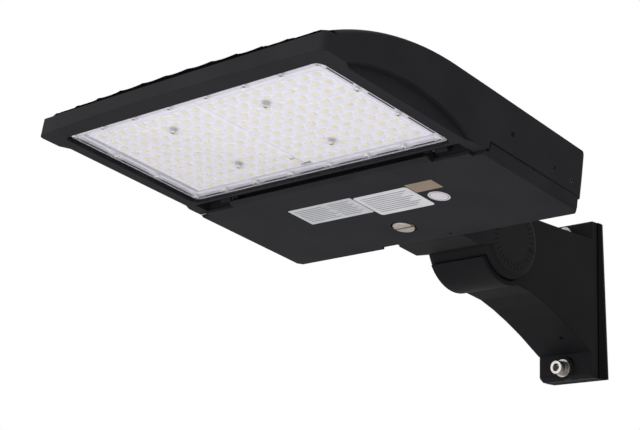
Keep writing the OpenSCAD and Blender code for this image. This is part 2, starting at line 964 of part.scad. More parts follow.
module pole_gasket()
    color([0.09, 0.09, 0.09])
        difference() {
            block(-arm_half - 1, arm_half + 1, -gasket_t, 0,
                arm_point(flange_u + flange_t, flange_w0)[1],
                arm_point(flange_u + flange_t, flange_w1)[1] - 0.6);
            for (s = [-1, 1])
                rod_y([0, -30, s * bolt_gap / 2], 4.4, 60);
            rod_y([0, -30, 0], wire_r, 60);
        }

// Socket cap screw along +Y with a reduced shank; its thread, drawn plain,
// starts at the pole face
module socket_screw(seat)
    difference() {
        union() {
            rod_y([0, -seat - 12.4, 0], 6.5, 8);
            rod_y([0, -seat - 4.5, 0], 3.6, seat + 4.6);
            rod_y([0, 0, 0], 4, 20);
        }
        translate([0, -seat - 7.9, 0])
            rotate([90, 0, 0])
                cylinder(h = 6, r = 3.46, $fn = 6);
    }

module pole_bolts()
    color([0.78, 0.78, 0.8]) {
        translate([0, 0, -bolt_gap / 2])
            socket_screw(seat_low);
        translate([0, 0, bolt_gap / 2])
            socket_screw(seat_high);
    }

module washer_pair(seat)
    difference() {
        union() {
            rod_y([0, -seat - 2, 0], 8.5, 2);
            rod_y([0, -seat - 4.4, 0], 7, 2.4);
        }
        rod_y([0, -seat - 6, 0], 4.2, 10);
        block(-0.6, 0.6, -seat - 5, -seat - 2, 3, 9);
    }

module pole_washers()
    color([0.74, 0.74, 0.76]) {
        translate([0, 0, -bolt_gap / 2])
            washer_pair(seat_low);
        translate([0, 0, bolt_gap / 2])
            washer_pair(seat_high);
    }

housing();
led_board_left();
led_board_right();
led_chips();
lens_cover();
lens_gasket();
lens_screws();
lens_centre_screws();
board_connector();
wire_grommet();
led_driver();
driver_screws();
surge_protector();
terminal_block();
ground_screw();
internal_leads();
breather_vent();
side_screws();
hinge_pins();
knuckle_bracket();
bracket_gasket();
bracket_screws();
knuckle_bolt();
knuckle_washer();
driver_cover();
cover_gasket();
cover_labels();
coin_screw();
coin_screw_clip();
arm();
pole_adapter();
pole_gasket();
pole_bolts();
pole_washers();
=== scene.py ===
"""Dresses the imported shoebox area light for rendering.

Sizes are written in millimetres of the part's own frames and turned to metres
when a mesh is made. The head frame has its origin on the rim plane, at the
middle of the front strip's lower edge, with +Y running back to the pole.
"""

import logging
import math
from dataclasses import dataclass
from enum import Enum

import bpy
from mathutils import Matrix, Quaternion, Vector


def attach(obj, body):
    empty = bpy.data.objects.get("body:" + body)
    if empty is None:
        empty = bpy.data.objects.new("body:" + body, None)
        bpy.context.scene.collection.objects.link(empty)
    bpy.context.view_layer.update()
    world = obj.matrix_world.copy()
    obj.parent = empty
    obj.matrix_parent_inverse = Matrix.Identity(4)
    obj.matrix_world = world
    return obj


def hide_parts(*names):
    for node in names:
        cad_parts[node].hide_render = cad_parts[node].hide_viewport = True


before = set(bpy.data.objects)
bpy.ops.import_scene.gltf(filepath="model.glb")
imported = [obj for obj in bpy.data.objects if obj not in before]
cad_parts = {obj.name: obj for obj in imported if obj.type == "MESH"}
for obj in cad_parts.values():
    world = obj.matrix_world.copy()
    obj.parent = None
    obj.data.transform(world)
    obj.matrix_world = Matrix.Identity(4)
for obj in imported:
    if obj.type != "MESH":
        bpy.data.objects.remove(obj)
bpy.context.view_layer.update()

LOG = logging.getLogger("area_light")
MM = 0.001

# Knuckle axis in the pole frame and in the head frame, in millimetres
KNUCKLE_AT = (0.0, -148.1, 38.5)
PIVOT = (0.0, 382.8, 20.0)
# Turn of the head at rest in degrees: 9.5 of tilt and 2.8 of the arm's lean
HEAD_TURN = -12.3
# Bands that a wave texture of scale 1 draws in a metre
WAVE_BANDS = 3.18
# Colour inputs and colour output of the mix node
MIX_A, MIX_B, MIX_OUT = 6, 7, 2

Point = tuple[float, float, float]
Flat = tuple[float, float]


class Body(Enum):
    """The rigid bodies that pieces ride on."""

    HEAD = "head_body"
    COVER = "cover_body"
    COIN = "coin_body"
    ARM = "arm_body"


class Place(Enum):
    """The frames in which pieces are drawn."""

    HEAD = "head"
    POLE = "pole"


def place_matrix(place: Place) -> Matrix:
    """Gives the matrix from a drawing frame in metres to the row frame.

    Args:
        place: The frame that the piece is drawn in.

    Returns:
        The 4x4 matrix, identity for the pole frame.
    """
    if place is Place.POLE:
        return Matrix.Identity(4)
    knuckle = Matrix.Translation([c * MM for c in KNUCKLE_AT])
    turn = Matrix.Rotation(math.radians(HEAD_TURN), 4, "X")
    return knuckle @ turn @ Matrix.Translation([-c * MM for c in PIVOT])


def linear(code: str) -> tuple[float, float, float, float]:
    """Turns an sRGB hex colour to linear RGBA.

    Args:
        code: Six hex digits, such as "2e2e30".

    Returns:
        Linear red, green, blue and an alpha of 1.
    """
    parts = [int(code[i : i + 2], 16) / 255 for i in (0, 2, 4)]
    low = [p / 12.92 if p <= 0.04045 else ((p + 0.055) / 1.055) ** 2.4 for p in parts]
    return (low[0], low[1], low[2], 1.0)


def texture_scale(size: float) -> float:
    """Gives the texture scale for a pattern of a size in millimetres."""
    return 1000 / size


def add_node(
    tree: bpy.types.NodeTree, kind: str, sockets: dict | None = None, **settings: object
) -> bpy.types.Node:
    """Adds one node with its settings, socket values and links.

    Args:
        tree: The node tree to add to.
        kind: The node's type name.
        sockets: Input name or index to a value, or to an output to link from.
        **settings: Attributes of the node itself.

    Returns:
        The new node.
    """
    node = tree.nodes.new(kind)
    for name, value in settings.items():
        setattr(node, name, value)
    for key, value in (sockets or {}).items():
        if isinstance(value, bpy.types.NodeSocket):
            tree.links.new(value, node.inputs[key])
        else:
            node.inputs[key].default_value = value
    return node


# ---------------------------------------------------------------- finishes


@dataclass(frozen=True)
class Finish:
    """A surface finish that is dressed as one material.

    Args:
        label: Name of the material.
        colour: sRGB hex colour of the surface.
        rough: Roughness of the gloss.
        metal: Metallic share, 0 or 1.
        gloss: Specular level of a surface that is not metal.
    """

    label: str
    colour: str
    rough: float = 0.5
    metal: float = 0.0
    gloss: float = 0.5

    def shader(self, tree: bpy.types.NodeTree) -> bpy.types.Node:
        """Adds the main shader with the uniform values on its own sockets."""
        return add_node(
            tree,
            "ShaderNodeBsdfPrincipled",
            {
                "Base Color": linear(self.colour),
                "Roughness": self.rough,
                "Metallic": self.metal,
                "Specular IOR Level": self.gloss,
            },
        )

    def dress(self, tree: bpy.types.NodeTree, shader: bpy.types.Node, where: bpy.types.NodeSocket) -> None:
        """Adds the pattern of the finish. The plain finish has a faint tone change only."""
        self.tone(tree, shader, where, 30.0, 0.06)

    def tone(
        self,
        tree: bpy.types.NodeTree,
        shader: bpy.types.Node,
        where: bpy.types.NodeSocket,
        size: float,
        depth: float,
    ) -> None:
        """Varies the colour softly, as uneven film thickness or handling does.

        Args:
            tree: The material's node tree.
            shader: The main shader.
            where: Coordinates in metres.
            size: Size of a patch in millimetres.
            depth: Share by which the colour lightens and darkens.
        """
        cloud = add_node(
            tree,
            "ShaderNodeTexNoise",
            {"Vector": where, "Scale": texture_scale(size), "Detail": 3.0},
        )
        base = linear(self.colour)
        dark = tuple(c * (1 - depth) for c in base[:3]) + (1.0,)
        light = tuple(min(1.0, c * (1 + depth)) for c in base[:3]) + (1.0,)
        ramp = add_node(tree, "ShaderNodeValToRGB", {"Fac": cloud.outputs["Fac"]})
        ramp.color_ramp.elements[0].position = 0.35
        ramp.color_ramp.elements[0].color = dark
        ramp.color_ramp.elements[1].position = 0.65
        ramp.color_ramp.elements[1].color = light
        tree.links.new(ramp.outputs["Color"], shader.inputs["Base Color"])

    def grain(
        self,
        tree: bpy.types.NodeTree,
        shader: bpy.types.Node,
        where: bpy.types.NodeSocket,
        size: float,
        height: float,
        edge: float = 0.0,
    ) -> None:
        """Adds a fine bump, over edges that catch light as if slightly rounded.

        Args:
            tree: The material's node tree.
            shader: The main shader.
            where: Coordinates in metres.
            size: Size of a grain in millimetres.
            height: Height of a grain in millimetres.
            edge: Radius of the softened edges in millimetres, or 0.
        """
        dots = add_node(
            tree,
            "ShaderNodeTexNoise",
            {"Vector": where, "Scale": texture_scale(size), "Detail": 2.0},
        )
        sockets = {"Height": dots.outputs["Fac"], "Distance": height * MM, "Strength": 0.6}
        if edge:
            soft = add_node(tree, "ShaderNodeBevel", {"Radius": edge * MM}, samples=6)
            sockets["Normal"] = soft.outputs["Normal"]
        bump = add_node(tree, "ShaderNodeBump", sockets)
        tree.links.new(bump.outputs["Normal"], shader.inputs["Normal"])

    def material(self) -> bpy.types.Material:
        """Makes the material once and gives it again on later calls.

        Returns:
            The material.
        """
        found = bpy.data.materials.get(self.label)
        if found:
            return found
        made = bpy.data.materials.new(self.label)
        made.use_nodes = True
        tree = made.node_tree
        tree.nodes.clear()
        shader = self.shader(tree)
        where = add_node(tree, "ShaderNodeTexCoord").outputs["Object"]
        self.dress(tree, shader, where)
        add_node(tree, "ShaderNodeOutputMaterial", {"Surface": shader.outputs[0]})
        made.diffuse_color = linear(self.colour)
        return made


@dataclass(frozen=True)
class PowderCoat(Finish):
    """Polyester powder baked on a die casting: satin, very fine orange peel.

    The peel is about 0.8 mm across, drawn at 1.2 mm so that it shows.

    Args:
        edge: Radius over which edges catch the light, in millimetres.
        peel: Size at which the peel is drawn, in millimetres.
    """

    edge: float = 0.9
    peel: float = 1.2

    def dress(self, tree: bpy.types.NodeTree, shader: bpy.types.Node, where: bpy.types.NodeSocket) -> None:
        """Adds the cloudy tone and the orange peel with softened edges."""
        self.tone(tree, shader, where, 45.0, 0.10)
        self.grain(tree, shader, where, self.peel, 0.035, self.edge)


@dataclass(frozen=True)
class FinShadedCoat(PowderCoat):
    """The head's powder coat, with painted shade much darker on the fins' front ends.

    The dark stretch is set by place and matched. Why the real band
    above the front strip looks black isn't known.

    Args:
        strip: Height of the front strip, above which the coat is dark.
        reach: Distance behind the front edge at which the dark starts to fade.
        fade: Length over which it fades out.
        soft: Half height of the step at the top of the strip.
        shade_share: Share of the colour that is left in the dark.
    """

    strip: float = 15.3
    reach: float = 7.0
    fade: float = 4.0
    soft: float = 0.4
    # Share of the colour left in the painted shade
    shade_share: float = 0.15

    def dress(self, tree: bpy.types.NodeTree, shader: bpy.types.Node, where: bpy.types.NodeSocket) -> None:
        """Adds the coat and paints shade on the fins' front ends.

        Args:
            tree: The material's node tree.
            shader: The main shader.
            where: Coordinates in metres.
        """
        super().dress(tree, shader, where)
        back = place_matrix(Place.HEAD).inverted()
        local = add_node(
            tree,
            "ShaderNodeMapping",
            {"Vector": where, "Location": back.to_translation(), "Rotation": back.to_euler()},
        )
        axes = add_node(tree, "ShaderNodeSeparateXYZ", {0: local.outputs["Vector"]})
        low, top = (self.strip - self.soft) * MM, (self.strip + self.soft) * MM
        near, far = self.reach * MM, (self.reach + self.fade) * MM
        high, front = (
            add_node(
                tree,
                "ShaderNodeMapRange",
                {"Value": axes.outputs[axis], "From Min": start, "From Max": end},
            )
            for axis, start, end in (("Z", low, top), ("Y", far, near))
        )
        both = add_node(
            tree,
            "ShaderNodeMath",
            {0: high.outputs["Result"], 1: front.outputs["Result"]},
            operation="MULTIPLY",
        )
        # Painted shade: the colour goes towards near black and the gloss to none on the fins' front ends
        old = shader.inputs["Base Color"].links[0].from_socket
        shade = tuple(c * self.shade_share for c in linear(self.colour)[:3]) + (1.0,)
        mix = add_node(
            tree,
            "ShaderNodeMix",
            {"Factor": both.outputs[0], MIX_A: old, MIX_B: shade},
            data_type="RGBA",
        )
        tree.links.new(mix.outputs[MIX_OUT], shader.inputs["Base Color"])
        level = add_node(
            tree,
            "ShaderNodeMapRange",
            {"Value": both.outputs[0], "To Min": self.gloss, "To Max": 0.0},
        )
        tree.links.new(level.outputs["Result"], shader.inputs["Specular IOR Level"])


@dataclass(frozen=True)
class Polycarbonate(Finish):
    """Injection moulded clear polycarbonate: glossy, lets most light through.

    Args:
        cover: Share of the surface that hides what lies behind it.
    """

    cover: float = 0.3

    def dress(self, tree: bpy.types.NodeTree, shader: bpy.types.Node, where: bpy.types.NodeSocket) -> None:
        """Adds see-through and a faint flow ripple of about 6 mm.

        Args:
            tree: The material's node tree.
            shader: The main shader.
            where: Coordinates in metres.
        """
        shader.inputs["Alpha"].default_value = self.cover
        shader.inputs["IOR"].default_value = 1.58
        self.grain(tree, shader, where, 6.0, 0.002)


@dataclass(frozen=True)
class BareMetal(Finish):
    """Bare or plated metal: bright, with fine marks and an uneven polish.

    Machining marks are about 0.1 mm apart, drawn at 0.4 mm so that they show.

    Args:
        wear: Size of a duller or brighter patch in millimetres.
    """

    wear: float = 2.5

    def dress(self, tree: bpy.types.NodeTree, shader: bpy.types.Node, where: bpy.types.NodeSocket) -> None:
        """Adds uneven polish and fine marks.

        Args:
            tree: The material's node tree.
            shader: The main shader.
            where: Coordinates in metres.
        """
        self.tone(tree, shader, where, 4.0, 0.14)
        patches = add_node(
            tree,
            "ShaderNodeTexNoise",
            {"Vector": where, "Scale": texture_scale(self.wear), "Detail": 4.0},
        )
        span = add_node(
            tree,
            "ShaderNodeMapRange",
            {"Value": patches.outputs["Fac"], "To Min": self.rough * 0.7, "To Max": self.rough * 1.5},
        )
        tree.links.new(span.outputs["Result"], shader.inputs["Roughness"])
        self.grain(tree, shader, where, 0.4, 0.01, 0.3)


@dataclass(frozen=True)
class SolderMask(Finish):
    """White solder mask on a metal core board, with faint copper tracks under it.

    The tracks take up about half of each step, one step to a row of LEDs.

    Args:
        step: Distance from track to track in millimetres.
    """

    step: float = 12.4

    def dress(self, tree: bpy.types.NodeTree, shader: bpy.types.Node, where: bpy.types.NodeSocket) -> None:
        """Adds the tracks as a faint tone and a low step.

        Args:
            tree: The material's node tree.
            shader: The main shader.
            where: Coordinates in metres.
        """
        wave = add_node(
            tree,
            "ShaderNodeTexWave",
            {
                "Vector": where,
                "Scale": texture_scale(self.step) / WAVE_BANDS,
                "Distortion": 0.4,
                "Detail": 1.0,
            },
            bands_direction="Y",
        )
        base = linear(self.colour)
        ramp = add_node(tree, "ShaderNodeValToRGB", {"Fac": wave.outputs["Fac"]})
        ramp.color_ramp.elements[0].position = 0.42
        ramp.color_ramp.elements[0].color = tuple(c * 0.95 for c in base[:3]) + (1.0,)
        ramp.color_ramp.elements[1].position = 0.5
        ramp.color_ramp.elements[1].color = base
        tree.links.new(ramp.outputs["Color"], shader.inputs["Base Color"])
        bump = add_node(tree, "ShaderNodeBump", {"Height": wave.outputs["Fac"], "Distance": 0.03 * MM})
        tree.links.new(bump.outputs["Normal"], shader.inputs["Normal"])


@dataclass(frozen=True)
class Moulded(Finish):
    """Moulded plastic, rubber or film: a fine even grain under the gloss.

    Args:
        grit: Size of the grain in millimetres.
        depth: Height of the grain in millimetres.
    """

    grit: float = 0.8
    depth: float = 0.02

    def dress(self, tree: bpy.types.NodeTree, shader: bpy.types.Node, where: bpy.types.NodeSocket) -> None:
        """Adds the tone and the grain."""
        self.tone(tree, shader, where, 20.0, 0.05)
        self.grain(tree, shader, where, self.grit, self.depth, 0.3)


class Finishes:
    """The finishes of this light, named for the real materials and for the painted shade that some of them
    carry.
    """

    # The head's coat carries painted shade on the fins' front ends
    HEAD_COAT = FinShadedCoat("powder_coat_head_with_fin_shade", "252528", 0.55, 0.0, 0.03)
    COVER_COAT = PowderCoat("powder_coat_cover", "252528", 0.55, 0.0, 0.03)
    # Painted shade: the knuckle and arm take the head's black powder coat, drawn darker for the shade they
    # sit in
    KNUCKLE_COAT_WITH_SHADE = PowderCoat("powder_coat_knuckle_with_shade", "1b1b1d", 0.5, 0.0, 0.04)
    ARM_COAT_WITH_SHADE = PowderCoat("powder_coat_arm_with_shade", "19191b", 0.5, 0.0, 0.03, edge=2.0)
    # Painted shade: the wedge's black coat drawn near black for the shade of the gap beside it
    WEDGE_COAT_WITH_SHADE = PowderCoat("powder_coat_wedge_with_gap_shade", "040404", 0.6, 0.0, 0.03)
    LENS = Polycarbonate("clear_polycarbonate", "f8f6ff", 0.16, 0.0, 0.2, cover=0.2)
    DOMES = Polycarbonate("clear_polycarbonate_domes", "f8f4f0", 0.2, 0.0, 0.1, cover=0.06)
    BOARD = SolderMask("white_solder_mask", "f6f4fc", 0.5, 0.0, 0.2)
    PHOSPHOR = Moulded("yellow_phosphor", "fff2b8", 0.6, 0.0, 0.2, grit=0.5)
    PACKAGE = Moulded("white_led_package", "f4f3ee", 0.4, 0.0, 0.4)
    SILICONE = Moulded("white_silicone", "dcdae2", 0.5, 0.0, 0.3, grit=1.5)
    RUBBER = Moulded("black_epdm_rubber", "151515", 0.75, 0.0, 0.25, grit=0.6)
    STEEL = BareMetal("stainless_steel", "a19d9a", 0.28, 1.0)
    BRIGHT_STEEL = BareMetal("bright_stainless_steel", "dbd9d6", 0.3, 1.0)
    WASHER = BareMetal("stainless_washer", "928f8c", 0.35, 1.0)
    NICKEL = BareMetal("nickel_plated_coin_screw", "b3aba2", 0.38, 1.0)
    BLACK_OXIDE = Moulded("black_oxide_steel", "19191a", 0.4, 0.0, 0.4)
    ALUMINIUM = BareMetal("bare_aluminium_case", "c9cacc", 0.42, 1.0)
    NYLON = Moulded("ivory_nylon", "e6e3d8", 0.45, 0.0, 0.4)
    DARK_PLASTIC = Moulded("slate_polybutylene", "343a42", 0.5, 0.0, 0.4)
    BLACK_PLASTIC = Moulded("black_nylon", "161617", 0.5, 0.0, 0.4)
    GREEN_LACQUER = Moulded("green_lacquer", "2f8a45", 0.35, 0.0, 0.5)
    RED_PVC = Moulded("red_lead_insulation", "9c2018", 0.4, 0.0, 0.5)
    BLACK_PVC = Moulded("black_lead_insulation", "161516", 0.4, 0.0, 0.5)
    WHITE_FILM = Moulded("white_label_film", "c9c9ce", 0.45, 0.0, 0.4, grit=2.0, depth=0.01)
    SILVER_FILM = Moulded("silver_label_film", "b9babf", 0.4, 0.0, 0.5, grit=2.0, depth=0.01)
    TAN_FILM = Moulded("tan_sticker_film", "80705f", 0.5, 0.0, 0.4, grit=2.0, depth=0.01)
    MAUVE_INK = Moulded("mauve_sticker_ink", "a98a98", 0.5, 0.0, 0.4)
    GREY_INK = Moulded("grey_label_ink", "77777d", 0.5, 0.0, 0.3)
    # Painted shade: a dark finish put into screw recesses, sockets and holes
    SLOT_SHADE = Moulded("painted_recess_shade", "1d1c1c", 0.6, 0.0, 0.3)
    SEAM = Moulded("lens_seam_shade", "202024", 0.5, 0.0, 0.2)


# ---------------------------------------------------------------- meshes


def rounded(x0: float, y0: float, x1: float, y1: float, r: float, steps: int = 8) -> list[Flat]:
    """Gives the outline of a rounded rectangle, counter-clockwise.

    Args:
        x0: Left side.
        y0: Front side.
        x1: Right side.
        y1: Rear side.
        r: Corner radius.
        steps: Number of sides to a corner.

    Returns:
        The points of the outline.
    """
    corners = (
        (x1 - r, y0 + r, -90),
        (x1 - r, y1 - r, 0),
        (x0 + r, y1 - r, 90),
        (x0 + r, y0 + r, 180),
    )
    out = []
    for cx, cy, start in corners:
        for i in range(steps + 1):
            a = math.radians(start + 90 * i / steps)
            out.append((cx + r * math.cos(a), cy + r * math.sin(a)))
    return out


def circle(cx: float, cy: float, r: float, steps: int = 48) -> list[Flat]:
    """Gives the outline of a circle, counter-clockwise."""
    turns = [2 * math.pi * i / steps for i in range(steps)]
    return [(cx + r * math.cos(a), cy + r * math.sin(a)) for a in turns]


def ring_faces(rings: int, steps: int) -> list[list[int]]:
    """Gives the faces of a closed skin over rings of points.

    Args:
        rings: Number of rings.
        steps: Number of points on each ring.

    Returns:
        The two ends and then the sides, as lists of point numbers.
    """
    last = (rings - 1) * steps
    faces = [[i for i in range(steps)][::-1], [last + i for i in range(steps)]]
    for k in range(rings - 1):
        a, b = k * steps, (k + 1) * steps
        faces += [[a + i, a + (i + 1) % steps, b + (i + 1) % steps, b + i] for i in range(steps)]
    return faces


class Workpiece:
    """Collects the faces of one piece in millimetres and makes its object.

    Args:
        name: Name of the piece.
        place: The frame in which its points are written.
    """

    def __init__(self, name: str, place: Place = Place.HEAD) -> None:
        """Starts an empty piece."""
        self.name = name
        self.place = place
        self.points: list[Vector] = []
        self.faces: list[tuple[list[int], int]] = []

    def add(self, points: list[Point], faces: list[list[int]], slot: int = 0) -> None:
        """Adds points and the faces between them.

        Args:
            points: The points.
            faces: The faces, counting the points from 0.
            slot: Material slot.
        """
        base = len(self.points)
        self.points.extend(Vector(p) for p in points)
        self.faces.extend(([base + i for i in f], slot) for f in faces)

    def prism(self, outline: list[Flat], z0: float, z1: float, slot: int = 0, edge: float = 0.0) -> None:
        """Adds an upright prism whose lower rim is eased by a small chamfer.

        Args:
            outline: Plan outline, counter-clockwise.
            z0: Lower level.
            z1: Upper level.
            slot: Material slot.
            edge: Size of the chamfer at the lower rim.
        """
        n = len(outline)
        cx = sum(p[0] for p in outline) / n
        cy = sum(p[1] for p in outline) / n
        rings = [(z1, 0.0), (z0 + edge, 0.0)] + ([(z0, edge)] if edge else [])
        points = []
        for z, inset in rings:
            for x, y in outline:
                d = math.hypot(x - cx, y - cy) or 1.0
                k = 1 - inset / d
                points.append((cx + (x - cx) * k, cy + (y - cy) * k, z))
        faces = [list(range(n)), [len(points) - 1 - i for i in range(n)]]
        for r in range(len(rings) - 1):
            a, b = r * n, r * n + n
            faces += [[a + i, b + i, b + (i + 1) % n, a + (i + 1) % n] for i in range(n)]
        self.add(points, faces, slot)

    def band(self, outer: list[Flat], inner: list[Flat], z0: float, z1: float, slot: int = 0) -> None:
        """Adds a closed frame between two outlines with the same number of points.

        Args:
            outer: Outer outline.
            inner: Inner outline.
            z0: Lower level.
            z1: Upper level.
            slot: Material slot.
        """
        n = len(outer)
        rings = [(outer, z1), (outer, z0), (inner, z0), (inner, z1)]
        points = [(x, y, z) for line, z in rings for x, y in line]
        faces = []
        for r in range(4):
            a, b = r * n, (r + 1) % 4 * n
            faces += [[a + i, b + i, b + (i + 1) % n, a + (i + 1) % n] for i in range(n)]
        self.add(points, faces, slot)

    def lathe(
        self,
        centre: Point,
        axis: Point,
        profile: list[Flat],
        slot: int = 0,
        steps: int = 32,
        knurl: float = 0.0,
        span: Flat = (0.0, 0.0),
    ) -> None:
        """Turns a profile of (distance along the axis, radius) about an axis.

        Args:
            centre: A point on the axis, where the distance is 0.
            axis: Direction of the axis.
            profile: The profile, from one end to the other.
            slot: Material slot.
            steps: Number of sides.
            knurl: Depth of the ridges on the stretch of the profile in span.
            span: Distances between which the surface is knurled.
        """
        w = Vector(axis).normalized()
        u = w.orthogonal().normalized()
        v = w.cross(u)
        points = []
        for s, r in profile:
            for i in range(steps):
                cut = knurl if knurl and i % 2 and span[0] <= s <= span[1] else 0.0
                a = 2 * math.pi * i / steps
                out = (u * math.cos(a) + v * math.sin(a)) * max(r - cut, 0.001)
                points.append(tuple(Vector(centre) + w * s + out))
        self.add(points, ring_faces(len(profile), steps), slot)

    def tube(self, path: list[Point], radius: float, slot: int = 0, steps: int = 12) -> None:
        """Adds a round tube along a smooth path.

        Args:
            path: Points that the path runs through.
            radius: Radius of the tube.
            slot: Material slot.
            steps: Number of sides.
        """
        smooth = []
        ends = [path[0], *path, path[-1]]
        for i in range(1, len(ends) - 2):
            a, b, c, d = (Vector(ends[i + k]) for k in (-1, 0, 1, 2))
            for j in range(6):
                t = j / 6
                bend = (2 * a - 5 * b + 4 * c - d) * t * t + (3 * b - a - 3 * c + d) * t**3
                smooth.append(0.5 * ((2 * b) + (c - a) * t + bend))
        smooth.append(Vector(path[-1]))
        side = (smooth[1] - smooth[0]).orthogonal().normalized()
        points = []
        for i, p in enumerate(smooth):
            way = (smooth[min(i + 1, len(smooth) - 1)] - smooth[max(i - 1, 0)]).normalized()
            side = (side - way * side.dot(way)).normalized()
            up = way.cross(side)
            for k in range(steps):
                a = 2 * math.pi * k / steps
                points.append(tuple(p + (side * math.cos(a) + up * math.sin(a)) * radius))
        self.add(points, ring_faces(len(smooth), steps), slot)

    def finish(
        self,
        body: Body,
        finishes: list[Finish],
        slot: str,
        replaces: tuple[str, ...] = (),
        angle: float = 35.0,
    ) -> bpy.types.Object:
        """Makes the object, dresses it and lets it ride on its body.

        Args:
            body: The body that the piece moves with.
            finishes: One finish for each material slot.
            slot: Name of a material slot; not used.
            replaces: CAD nodes that the piece stands for.
            angle: Edges sharper than this stay sharp, in degrees.

        Returns:
            The new object.
        """
        matrix = place_matrix(self.place)
        mesh = bpy.data.meshes.new(self.name)
        mesh.from_pydata([matrix @ (p * MM) for p in self.points], [], [f for f, _ in self.faces])
        for done, (_, s) in zip(mesh.polygons, self.faces):
            done.material_index = s
        mesh.validate()
        mesh.shade_smooth()
        mesh.set_sharp_from_angle(angle=math.radians(angle))
        for finish in finishes:
            mesh.materials.append(finish.material())
        made = bpy.data.objects.new(self.name, mesh)
        bpy.context.scene.collection.objects.link(made)
        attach(made, body.value)
        if replaces:
            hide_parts(*replaces)
        LOG.info("piece %s on %s, %d faces", self.name, body.value, len(self.faces))
        return made


def coat_node(node: str, finish: Finish) -> None:
    """Gives a CAD node its finish.

    Args:
        node: Name of the node.
        finish: The finish for all its slots.
    """
    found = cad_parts[node]
    made = finish.material()
    for slot in found.material_slots:
        slot.material = made
    if not found.material_slots:
        found.data.materials.append(made)
    LOG.info("node %s in %s", node, finish.label)


# ---------------------------------------------------------------- sub-assemblies


